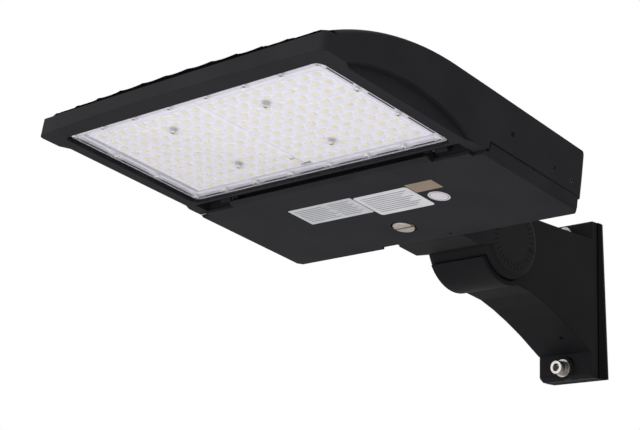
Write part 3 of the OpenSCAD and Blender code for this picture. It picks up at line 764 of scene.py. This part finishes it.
@dataclass
class LightEngine:
    """The LED boards with their chips, lens array, gasket, screws and connector.

    Args:
        lens_w: Width of the lens cover.
        lens_l: Length of the lens cover.
        lens_y: Distance from the front rim to the lens cover.
        step_x: Distance between LED columns.
        step_y: Distance between LED rows.
        dome_r: Radius of a lens dome at its foot.
        dome_h: Height of a lens dome.
        first: Place of the first LED, across from the middle and behind the lens edge.
        skin: Level of the lens cover's lower face.
        back: Level of its upper face.
        board_z: Level of the boards' lower face.
        stops: Distances from the middle of the front and rear edge screws.
        side_stops: Distances of the side edge screws behind the lens edge.
        inset: Distance of the rear and side screws from the edge.
        front_inset: Distance of the front screws from the edge.
        ribs: Inset, width and height of each rib round the lens.
        dashes: Start and end of each dark dash along the sides.
    """

    lens_w: float = 294.0
    lens_l: float = 149.3
    lens_y: float = 14.8
    step_x: float = 13.0
    step_y: float = 12.38
    dome_r: float = 4.9
    dome_h: float = 1.3
    first: Flat = (8.3, 20.0)
    skin: float = 3.0
    back: float = 5.0
    board_z: float = 6.1
    stops: tuple[float, ...] = (22.0, 64.5, 104.0, 141.7)
    side_stops: tuple[float, ...] = (49.0, 95.0)
    inset: float = 7.0
    front_inset: float = 4.0
    ribs: tuple[Point, ...] = ((10.5, 1.2, 0.5), (1.2, 0.7, 0.3))
    dashes: tuple[Flat, ...] = ((12.0, 41.0), (57.0, 87.0), (103.0, 134.0))

    def led_places(self) -> list[Flat]:
        """Gives the middle of every LED in plan."""
        return [
            (side * (self.first[0] + self.step_x * i), self.lens_y + self.first[1] + self.step_y * j)
            for side in (-1, 1)
            for i in range(10)
            for j in range(10)
        ]

    def edge_places(self) -> list[Flat]:
        """Gives the places of the screws round the edge.

        Returns:
            The front and rear screws, and then those of the sides.
        """
        ends = (self.front_inset, self.lens_l - self.inset)
        side = self.lens_w / 2 - self.inset
        rows = [(s * x, self.lens_y + y) for s in (-1, 1) for x in self.stops for y in ends]
        return rows + [(s * side, self.lens_y + y) for s in (-1, 1) for y in self.side_stops]

    def centre_places(self) -> list[Flat]:
        """Gives the places of the four screws in the field."""
        return [(s * 54.2, self.lens_y + y) for s in (-1, 1) for y in (37.3, 111.5)]

    def build_lens(self) -> None:
        """Makes the clear sheet with its stiffening ribs and a dome over each LED."""
        half, y0 = self.lens_w / 2, self.lens_y
        y1 = y0 + self.lens_l
        into, collar = self.skin + 0.01, self.skin - 0.3
        sheet = Workpiece("lens_array")
        sheet.prism(rounded(-half, y0, half, y1, 7), self.skin, self.back, 0, 0.5)
        for inset, width, depth in self.ribs:
            both = inset + width
            sheet.band(
                rounded(-half + inset, y0 + inset, half - inset, y1 - inset, 4),
                rounded(-half + both, y0 + both, half - both, y1 - both, 3.5),
                self.skin - depth,
                into,
            )
        self.add_dashes(sheet)
        for x, y in self.centre_places():
            sheet.lathe((x, y, self.board_z), (0, 0, -1), [(0, 3.4), (1.6, 3.4), (1.61, 2.6)])
            sheet.band(circle(x, y, 4.4, 32), circle(x, y, 3.8, 32), collar, into)
        for x, y in self.edge_places():
            sheet.band(circle(x, y, 3.8, 32), circle(x, y, 3.2, 32), collar, into)
        r = (self.dome_r**2 + self.dome_h**2) / (2 * self.dome_h)
        turn = math.asin(self.dome_r / r)
        drop = math.cos(turn) * r
        cuts = [turn * k / 6 for k in range(6, 0, -1)]
        cap = [(r * math.cos(a) - drop, r * math.sin(a)) for a in cuts]
        for x, y in self.led_places():
            sheet.lathe((x, y, into), (0, 0, -1), cap + [(self.dome_h, 0.05)], 1, 28)
        clear = [Finishes.LENS, Finishes.DOMES, Finishes.SEAM]
        sheet.finish(Body.HEAD, clear, "lens_clear", ("lens_cover",), 60)

    def add_dashes(self, sheet: Workpiece) -> None:
        """Adds the dark dashes that show between the screws along three edges.

        Args:
            sheet: The lens piece, whose third slot is the seam's shade.
        """
        half, y0, y1 = self.lens_w / 2, self.lens_y, self.lens_y + self.lens_l
        levels = (self.skin - 0.1, self.skin + 0.05)
        for side in (-1, 1):
            x = side * (half - 3.2)
            x0, x1 = sorted((x, x - side * 1.6))
            for a, b in self.dashes:
                sheet.prism(rounded(x0, y0 + a, x1, y0 + b, 0.5, 3), *levels, 2)
        stops = [-x for x in reversed(self.stops)] + list(self.stops)
        for a, b in zip(stops, stops[1:]):
            sheet.prism(rounded(a + 8, y1 - 4.6, b - 8, y1 - 3.4, 0.5, 3), *levels, 2)

    def build_chips(self) -> None:
        """Makes the LED packages: white square bodies round a yellow phosphor pool."""
        chips = Workpiece("led_packages")
        for x, y in self.led_places():
            body = rounded(x - 2.5, y - 2.5, x + 2.5, y + 2.5, 0.4, 2)
            chips.prism(body, 5.55, self.board_z, 0, 0.1)
            chips.prism(rounded(x - 2.35, y - 2.35, x + 2.35, y + 2.35, 1.2, 4), 5.4, 5.6, 1, 0.08)
        chips.finish(Body.HEAD, [Finishes.PACKAGE, Finishes.PHOSPHOR], "led_phosphor", ("led_chips",))

    def build_screws(self) -> None:
        """Makes the small cross-recessed pan head screws of the lens."""
        shank = [(-7.8, 1.4), (0.0, 1.45)]
        head = [(0.02, 2.5), (0.7, 2.5), (1.15, 2.15), (1.38, 1.5), (1.4, 0.1)]
        blade = ((-1.3, -0.28), (1.3, -0.28), (1.3, 0.28), (-1.3, 0.28))
        for name, places, node in (
            ("lens_edge_screws", self.edge_places(), "lens_screws"),
            ("lens_field_screws", self.centre_places(), "lens_centre_screws"),
        ):
            screws = Workpiece(name)
            for k, (x, y) in enumerate(places):
                screws.lathe((x, y, self.skin), (0, 0, -1), shank + head, 0, 28)
                # Each cross recess is a dark prism: painted shade in the recess
                for quarter in (0, 1):
                    a = math.radians(17 * k + 90 * quarter)
                    c, s = math.cos(a), math.sin(a)
                    cross = [(x + c * u - s * v, y + s * u + c * v) for u, v in blade]
                    screws.prism(cross, 1.57, 1.9, 1)
            steel = [Finishes.BRIGHT_STEEL, Finishes.SLOT_SHADE]
            screws.finish(Body.HEAD, steel, "stainless", (node,))

    def build_connector(self) -> None:
        """Makes the two-pole connector of the boards."""
        y0 = self.lens_y + 120
        shell = Workpiece("board_plug")
        shell.prism(rounded(-5.5, y0, 0.3, y0 + 14.8, 0.6, 3), 5.1, self.board_z, 0, 0.2)
        # The plug's two openings are dark pads: painted shade
        for x in (-4.1, -1.1):
            shell.prism(rounded(x - 0.9, y0 + 2, x + 0.9, y0 + 5, 0.2, 2), 5.07, 5.3, 1)
        nylon = [Finishes.NYLON, Finishes.SLOT_SHADE]
        shell.finish(Body.HEAD, nylon, "plastic_white", ("board_connector",))

    def build(self) -> None:
        """Builds and dresses the whole light engine."""
        self.build_lens()
        self.build_chips()
        self.build_screws()
        self.build_connector()
        coat_node("led_board_left", Finishes.BOARD)
        coat_node("led_board_right", Finishes.BOARD)
        coat_node("lens_gasket", Finishes.SILICONE)


@dataclass
class HeadHousing:
    """The finned casting with its small side fasteners and vent.

    Args:
        marks: Places (y, z) of the small flush plugs on each side.
        side_x: Distance of the side faces from the middle at rear_y.
        rear_y: Distance behind the front edge at which side_x holds.
        taper: Widening of each side for a millimetre to the front.
    """

    marks: tuple[Flat, ...] = ((194.8, 49.0), (193.8, 33.0))
    side_x: float = 162.3
    rear_y: float = 312.0
    taper: float = 0.0112

    def build(self) -> None:
        """Dresses the casting and adds the side plugs."""
        coat_node("housing", Finishes.HEAD_COAT)
        coat_node("side_screws", Finishes.BLACK_OXIDE)
        coat_node("breather_vent", Finishes.BLACK_PLASTIC)
        coat_node("hinge_pins", Finishes.STEEL)
        profile = [(-1.2, 1.5), (0.05, 1.5), (0.25, 1.2), (0.3, 0.1)]
        plugs = Workpiece("side_plugs")
        for side in (-1, 1):
            for y, z in self.marks:
                x = side * (self.side_x + (self.rear_y - y) * self.taper)
                plugs.lathe((x, y, z), (side, 0, 0), profile, 0, 20)
        plugs.finish(Body.HEAD, [Finishes.BLACK_OXIDE], "black_steel")


@dataclass
class DriverBay:
    """What lies behind the cover: driver, surge protector, terminals and leads.

    Args:
        half: Half length of the driver case.
        y0: Front of the driver case.
        y1: Back of the driver case.
        thin: Radius of the board leads.
        thick: Radius of the other leads.
    """

    half: float = 86.0
    y0: float = 199.0
    y1: float = 263.0
    thin: float = 0.42
    thick: float = 1.2

    def build_caps(self) -> None:
        """Makes the potted end caps and the blank plate on the driver's face."""
        caps = Workpiece("driver_end_caps")
        for side in (-1, 1):
            x0, x1 = sorted((side * 74, side * (self.half + 0.1)))
            caps.prism(rounded(x0, self.y0 - 0.6, x1, self.y1 + 0.6, 2.0, 4), 13.4, 15.4, 0, 0.6)
        caps.finish(Body.HEAD, [Finishes.BLACK_PLASTIC], "plastic_black")
        plate = Workpiece("driver_plate")
        plate.prism(rounded(-66, 207, 66, 255, 2.0, 4), 13.75, 14.05, 0, 0.05)
        plate.finish(Body.HEAD, [Finishes.WHITE_FILM], "label_silver")

    def build_leads(self) -> None:
        """Makes the smooth leads between driver, terminals and boards."""
        leads = Workpiece("bay_leads")
        for slot, side, x in ((0, -1, -4.1), (1, 1, -1.1)):
            up = [(x, 148.0, 5.6), (x, 151.2, 5.7), (x, 152.0, 7.5), (x, 152.0, 17.0)]
            duct = [(side * 2.6, 155.0, 22.0)] + [(side * 3, y, 22.5) for y in (160, 178, 190)]
            turn = [(8, 193, 22.6), (22, 194, 23), (36, 194.6, 24), (40, 199, 24)]
            leads.tube(up + duct + [(side * a, b, c) for a, b, c in turn], self.thin, slot)
        supply = [(-86, 232, 30), (-91, 232, 30), (-97, 234, 34), (-104, 243, 35.5)]
        supply += [(-112, 245.5, 35.5), (-117, 241, 35.5), (-117, 233.5, 35.5)]
        earth = [(-131, 233.5, 35.5), (-131, 250, 36), (-132, 268, 40), (-132, 280, 43)]
        earth += [(-132, 285, 45.4)]
        surge = [(86, 230, 28), (92, 230, 28), (97, 230, 31.5), (101, 230, 32), (107, 230, 32)]
        for path, slot in ((supply, 0), (earth, 0), (surge, 1)):
            leads.tube(path, self.thick, slot)
        pvc = [Finishes.RED_PVC, Finishes.BLACK_PVC]
        leads.finish(Body.HEAD, pvc, "lead_red", ("internal_leads",))

    def build(self) -> None:
        """Builds and dresses the driver compartment."""
        coat_node("led_driver", Finishes.ALUMINIUM)
        coat_node("driver_screws", Finishes.STEEL)
        coat_node("surge_protector", Finishes.DARK_PLASTIC)
        coat_node("terminal_block", Finishes.NYLON)
        coat_node("ground_screw", Finishes.GREEN_LACQUER)
        coat_node("wire_grommet", Finishes.RUBBER)
        self.build_caps()
        self.build_leads()


@dataclass
class DriverCover:
    """The hinged cover with its labels and coin screw.

    Args:
        skin: Level of the cover's lower face.
        lens_y: Distance from the front rim to the lens, from which the labels are placed.
    """

    skin: float = -3.0
    lens_y: float = 14.8

    def build_labels(self) -> None:
        """Makes the two labels with plain rows, and a tan and a round sticker."""
        y = self.lens_y
        z0, z1 = self.skin - 0.15, self.skin
        ink = (z0 - 0.02, z0 + 0.01)
        rating = Workpiece("rating_label_blank")
        rating.prism(rounded(-75, y + 193, -0.5, y + 225, 1.0, 4), z0, z1, 0, 0.03)
        rating.band(
            rounded(-73.5, y + 194.5, -2, y + 223.5, 1.0, 4),
            rounded(-73.1, y + 194.9, -2.4, y + 223.1, 0.8, 4),
            *ink,
            1,
        )
        for k in range(8):
            row = y + 197 + 3.2 * k
            for x0, x1 in ((-71, -38 + 3 * (k % 3)), (-31, -6 - 4 * (k % 2))):
                rating.prism(rounded(x0, row, x1, row + 1, 0.3, 2), *ink, 2)
        films = [Finishes.SILVER_FILM, Finishes.WHITE_FILM, Finishes.GREY_INK]
        rating.finish(Body.COVER, films, "label_silver", ("cover_labels",))
        notes = Workpiece("notes_label_blank")
        notes.prism(rounded(0.5, y + 195, 61, y + 234, 3.0, 6), z0, z1, 0, 0.03)
        for k in range(9):
            row = y + 200 + 3.4 * k
            notes.prism(rounded(5, row, 56 - 5 * (k % 3), row + 1.1, 0.3, 2), *ink, 1)
        notes.finish(Body.COVER, [Finishes.WHITE_FILM, Finishes.GREY_INK], "label_silver")
        tan = Workpiece("tan_sticker_blank")
        tan.prism(rounded(62, y + 192, 91, y + 208, 0.8, 4), z0, z1, 0, 0.03)
        tan.finish(Body.COVER, [Finishes.TAN_FILM], "label_silver")
        seal = Workpiece("round_sticker_blank")
        disc, outer, inner = (circle(75, y + 221.6, r, 56) for r in (9.5, 8.3, 7.4))
        seal.prism(disc, z0, z1, 0, 0.03)
        seal.band(outer, inner, *ink, 1)
        seal.finish(Body.COVER, [Finishes.WHITE_FILM, Finishes.MAUVE_INK], "label_silver")

    def build(self) -> None:
        """Dresses the cover and its hardware."""
        coat_node("driver_cover", Finishes.COVER_COAT)
        coat_node("cover_gasket", Finishes.RUBBER)
        coat_node("coin_screw", Finishes.NICKEL)
        coat_node("coin_screw_clip", Finishes.WASHER)
        self.build_labels()


@dataclass
class Knuckle:
    """The head's knuckle bracket with its bolt and hardware."""

    def build(self) -> None:
        """Dresses the bracket and its bolt."""
        coat_node("knuckle_bracket", Finishes.KNUCKLE_COAT_WITH_SHADE)
        coat_node("bracket_gasket", Finishes.RUBBER)
        coat_node("bracket_screws", Finishes.STEEL)
        coat_node("knuckle_bolt", Finishes.STEEL)
        coat_node("knuckle_washer", Finishes.WASHER)


@dataclass
class PoleArm:
    """The arm, its wedge and gasket, and the two socket screws.

    Args:
        gap: Distance between the screws.
        seats: Distance of each washer seat in front of the pole face, lower first.
        pitch: Thread pitch of the screws.
        stand: Distance from each seat to the top of the screw head.
        reach: Length of thread past the pole face.
    """

    gap: float = 130.0
    seats: tuple[float, float] = (28.8, 18.9)
    pitch: float = 1.25
    stand: float = 12.4
    reach: float = 20.0

    def thread(self, start: float, end: float) -> list[Flat]:
        """Gives a profile of thread crests and roots.

        Args:
            start: Distance along the screw at which the thread starts.
            end: Distance at which the screw ends.

        Returns:
            The profile, as distances and radii.
        """
        out = []
        s = start
        while s < end - self.pitch:
            out += [(s, 3.45), (s + self.pitch * 0.45, 4.0), (s + self.pitch * 0.55, 4.0)]
            s += self.pitch
        return out + [(end - 0.8, 3.4), (end, 2.9)]

    def build_screws(self) -> None:
        """Makes the knurled socket screws with their threads."""
        screws = Workpiece("pole_socket_screws", Place.POLE)
        for seat, z in zip(self.seats, (-self.gap / 2, self.gap / 2)):
            top = -seat - self.stand
            face = seat + self.stand
            centre = (0.0, top, z)
            rim = [(3.2, 0.1), (3.2, 3.4), (0.35, 3.45), (0.0, 3.8), (0.0, 6.1), (0.5, 6.5)]
            side = [(1.4, 6.5), (1.5, 6.5), (7.4, 6.5), (7.5, 6.45), (8.0, 6.4)]
            shank = [(8.02, 3.6), (face - 0.1, 3.6)] + self.thread(face, face + self.reach)
            screws.lathe(centre, (0, 1, 0), rim + side + shank, 0, 60, 0.28, (1.45, 7.42))
            # The hex socket is a dark face: painted shade in the socket
            socket = [(x, top + 0.4, z + y) for x, y in circle(0.0, 0.0, 2.95, 6)]
            screws.add(socket, [[5, 4, 3, 2, 1, 0]], 1)
        screws.finish(Body.ARM, [Finishes.STEEL, Finishes.SLOT_SHADE], "stainless", ("pole_bolts",))

    def build(self) -> None:
        """Builds and dresses the arm."""
        coat_node("arm", Finishes.ARM_COAT_WITH_SHADE)
        coat_node("pole_adapter", Finishes.WEDGE_COAT_WITH_SHADE)
        coat_node("pole_gasket", Finishes.RUBBER)
        coat_node("pole_washers", Finishes.WASHER)
        self.build_screws()


# ---------------------------------------------------------------- studio


@dataclass(frozen=True)
class SoftLamp:
    """A square soft lamp.

    Args:
        label: Name of the lamp.
        at: Position in metres.
        size: Side in metres.
        power: Power in watts.
    """

    label: str
    at: Point
    size: float
    power: float

    def build(self, aim: Vector) -> None:
        """Makes the lamp.

        Args:
            aim: The point that it is turned to, in metres.
        """
        data = bpy.data.lights.new(self.label, "AREA")
        data.shape = "SQUARE"
        data.size = self.size
        data.energy = self.power
        made = bpy.data.objects.new(self.label, data)
        made.location = self.at
        made.rotation_mode = "QUATERNION"
        made.rotation_quaternion = (aim - Vector(self.at)).to_track_quat("-Z", "Y")
        made.visible_camera = False
        bpy.context.scene.collection.objects.link(made)


@dataclass
class Studio:
    """Pale floor, white surroundings, soft lamps and the photograph's camera.

    Args:
        floor_z: Level of the floor in metres.
        fill: Brightness of the surroundings as a light.
        lamps: The soft lamps.
        aim: The point that the lamps are turned to, in metres.
        focal: Focal length of the camera in millimetres.
        eye: Position of the camera in metres.
        turn: Turn of the camera as a quaternion.
    """

    floor_z: float = -0.95
    fill: float = 0.62
    lamps: tuple[SoftLamp, ...] = (
        SoftLamp("front_lamp", (-1.3, -2.3, 0.6), 2.0, 22.0),
        SoftLamp("top_lamp", (0.2, -0.4, 2.3), 2.0, 26.0),
        SoftLamp("low_lamp", (0.3, -1.9, -0.75), 1.2, 14.0),
    )
    aim: Point = (0.0, -0.3, 0.05)
    focal: float = 95.31
    eye: Point = (0.95829, -1.34004, -0.26942)
    turn: tuple[float, float, float, float] = (0.580317, 0.721589, 0.295137, 0.235836)

    def build_world(self) -> None:
        """Makes the surroundings: white to the eye and to gloss, dimmer as a light."""
        world = bpy.data.worlds.new("studio")
        bpy.context.scene.world = world
        world.use_nodes = True
        tree = world.node_tree
        tree.nodes.clear()
        path = add_node(tree, "ShaderNodeLightPath")
        seen = path.outputs["Is Camera Ray"]
        for ray in ("Is Transmission Ray", "Is Glossy Ray"):
            larger = add_node(
                tree, "ShaderNodeMath", {0: seen, 1: path.outputs[ray]}, operation="MAXIMUM"
            )
            seen = larger.outputs[0]
        power = add_node(
            tree, "ShaderNodeMapRange", {"Value": seen, "To Min": self.fill, "To Max": 1.0}
        )
        back = add_node(
            tree,
            "ShaderNodeBackground",
            {"Color": (1, 1, 1, 1), "Strength": power.outputs["Result"]},
        )
        add_node(tree, "ShaderNodeOutputWorld", {"Surface": back.outputs[0]})

    def build_floor(self) -> None:
        """Makes the pale floor."""
        half = 14.0
        mesh = bpy.data.meshes.new("studio_floor")
        corners = [(-half, -half), (half, -half), (half, half), (-half, half)]
        mesh.from_pydata([(x, y, self.floor_z) for x, y in corners], [], [(0, 1, 2, 3)])
        floor = bpy.data.objects.new("studio_floor", mesh)
        bpy.context.scene.collection.objects.link(floor)
        pale = Moulded("pale_studio_floor", "efefee", 0.8, 0.0, 0.2, grit=4.0)
        mesh.materials.append(pale.material())

    def build_camera(self) -> None:
        """Makes the camera at the photograph's viewpoint."""
        data = bpy.data.cameras.new("photo_camera")
        data.sensor_fit = "HORIZONTAL"
        data.sensor_width = 36.0
        data.lens = self.focal
        data.clip_start, data.clip_end = 0.05, 100.0
        made = bpy.data.objects.new("photo_camera", data)
        made.location = self.eye
        made.rotation_mode = "QUATERNION"
        made.rotation_quaternion = Quaternion(self.turn).normalized()
        bpy.context.scene.collection.objects.link(made)
        bpy.context.scene.camera = made

    def build(self) -> None:
        """Builds the whole studio."""
        bpy.context.scene.view_settings.view_transform = "Standard"
        self.build_world()
        self.build_floor()
        for lamp in self.lamps:
            lamp.build(Vector(self.aim))
        self.build_camera()


def main() -> None:
    """Builds the light in order."""
    logging.basicConfig(level=logging.INFO, format="%(name)s: %(message)s")
    for part in (HeadHousing(), LightEngine(), DriverBay(), DriverCover(), Knuckle(), PoleArm(), Studio()):
        part.build()
        LOG.info("built %s", type(part).__name__)
    bpy.context.view_layer.update()


if __name__ == "__main__":
    main()
